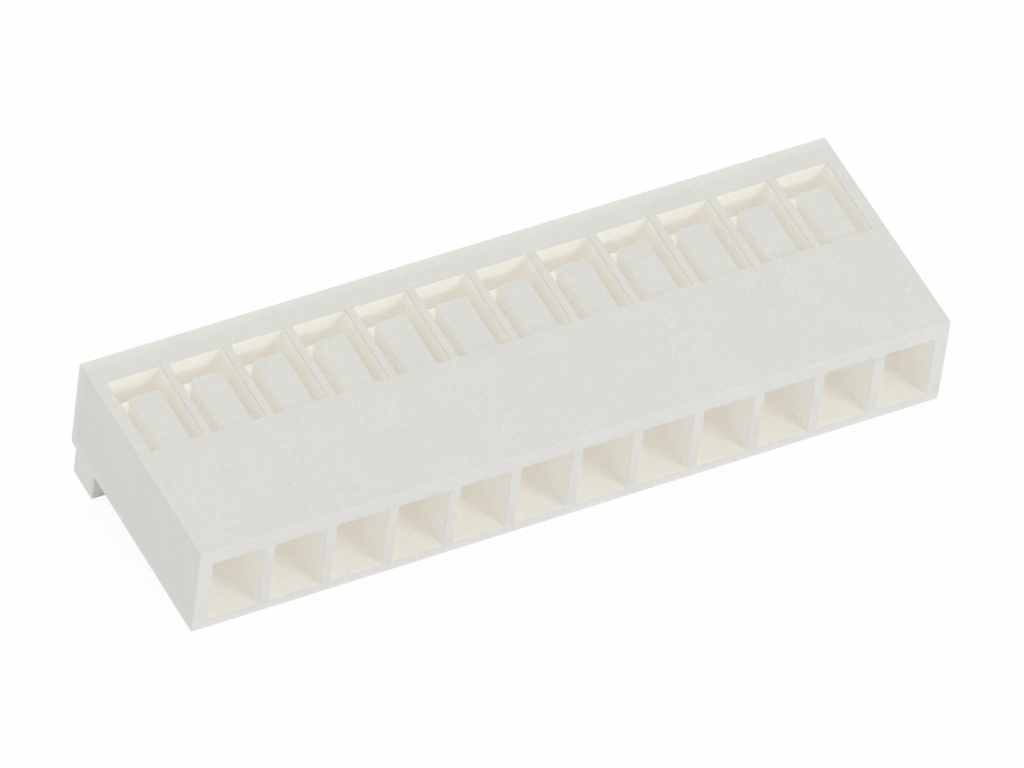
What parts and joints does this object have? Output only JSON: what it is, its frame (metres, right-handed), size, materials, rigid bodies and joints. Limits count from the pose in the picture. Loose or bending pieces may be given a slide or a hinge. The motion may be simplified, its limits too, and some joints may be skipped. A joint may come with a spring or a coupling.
{
  "type": "connector housing",
  "caption": "Crimp terminal housing with a row of wire entries, a locking window over each cavity and a guide rail under its mating end.",
  "frame": {"origin": "centre of the bounding box in X and Y, at the underside of the guide rail in Z", "axes": "+X along the row, +Y out of the mating face towards the header, +Z out of the face with the locking windows"},
  "size_m": [0.0488, 0.016, 0.0088],
  "materials": {
    "nylon": "natural off-white nylon, fine matt texture, slightly see-through at thin walls"
  },
  "bodies": {
    "root": {"housing": "nylon"}
  },
  "joints": []
}
